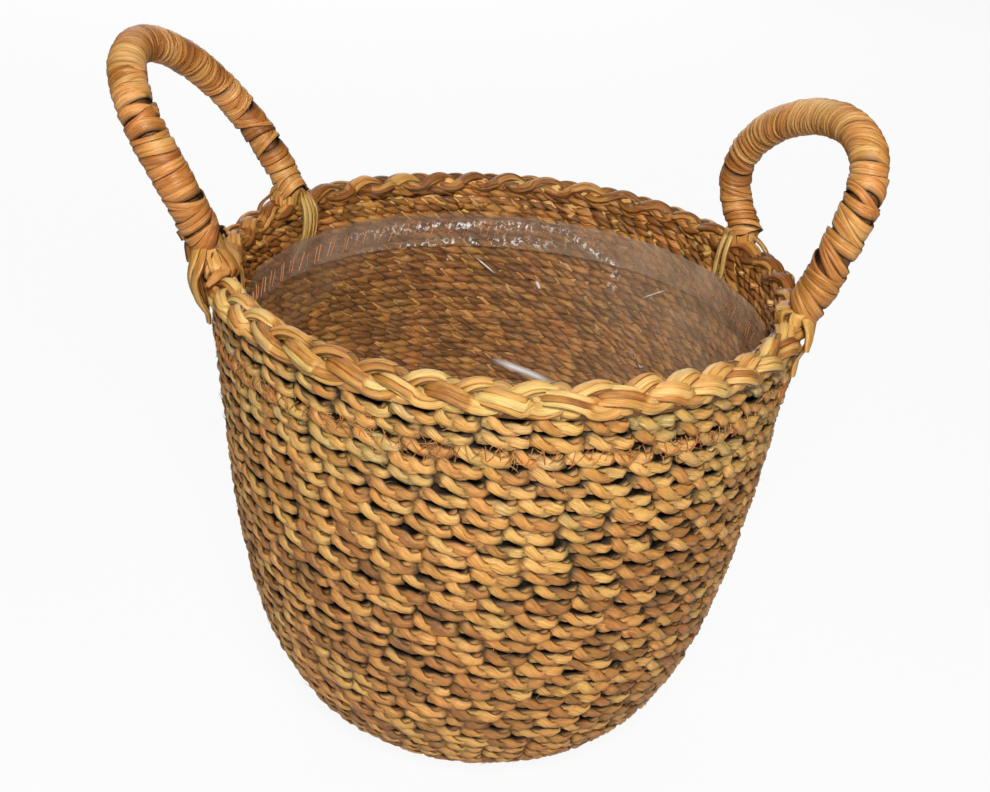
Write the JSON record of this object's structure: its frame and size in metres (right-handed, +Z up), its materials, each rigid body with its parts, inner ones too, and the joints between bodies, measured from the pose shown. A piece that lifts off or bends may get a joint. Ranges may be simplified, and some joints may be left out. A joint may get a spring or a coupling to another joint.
{
  "type": "seagrass storage basket",
  "caption": "Round lined storage basket twined from seagrass, with a plaited rim and a bound loop handle tied over the rim on each side",
  "frame": {"origin": "on the floor, under the middle of the base", "axes": "+Z up out of the mouth, -Y towards the front, +X towards the right handle"},
  "size_m": [0.3652, 0.3004, 0.3485],
  "materials": {
    "seagrass": "dried, lightly twisted seagrass leaf, golden tan with darker streaks and a slight waxy sheen",
    "pale_seagrass": "dried seagrass leaf, pale straw, smooth along the leaf",
    "brown_seagrass": "dried seagrass stem, brown, dull",
    "clear_film": "thin clear plastic film, crinkled and glossy",
    "rust_thread": "thin rust-brown sewing thread"
  },
  "bodies": {
    "basket": {"base_hub": "brown_seagrass", "base_rounds": "brown_seagrass", "stakes": "brown_seagrass", "course_01": "seagrass", "course_02": "seagrass", "course_03": "seagrass", "course_04": "seagrass", "course_05": "seagrass", "course_06": "seagrass", "course_07": "seagrass", "course_08": "seagrass", "course_09": "seagrass", "course_10": "seagrass", "course_11": "seagrass", "course_12": "seagrass", "course_13": "seagrass", "course_14": "seagrass", "course_15": "seagrass", "course_16": "seagrass", "course_17": "seagrass", "course_18": "seagrass", "course_19": "seagrass", "course_20": "seagrass", "course_21": "seagrass", "course_22": "seagrass", "course_23": "seagrass", "course_24": "seagrass", "course_25": "seagrass", "course_26": "seagrass", "course_27": "seagrass", "course_28": "seagrass", "course_29": "seagrass", "course_30": "seagrass", "course_31": "seagrass", "course_32": "seagrass", "course_33": "seagrass", "course_34": "seagrass", "course_35": "seagrass", "rim_strand_outer": "pale_seagrass", "rim_strand_inner": "pale_seagrass", "rim_strand_top": "pale_seagrass", "stake_tails": "pale_seagrass", "liner_film": "clear_film", "liner_hem": "clear_film", "liner_stitches": "rust_thread", "tie_left_front": "pale_seagrass", "tie_left_back": "pale_seagrass", "tie_right_front": "pale_seagrass", "tie_right_back": "pale_seagrass"},
    "left_handle": {"handle_core_left": "brown_seagrass", "handle_wrap_left": "seagrass"},
    "right_handle": {"handle_core_right": "brown_seagrass", "handle_wrap_right": "seagrass"}
  },
  "joints": [
    {"name": "left_handle_swing", "type": "hinge", "parent": "basket", "child": "left_handle", "pos_m": [-0.13644, -0.03656, 0.26228], "axis": [-0.1392, -0.9902, 0.0136], "range_deg": [-55, 20]},
    {"name": "right_handle_swing", "type": "hinge", "parent": "basket", "child": "right_handle", "pos_m": [0.13644, -0.03656, 0.26228], "axis": [-0.1392, 0.9902, -0.0136], "range_deg": [-40, 35]}
  ]
}
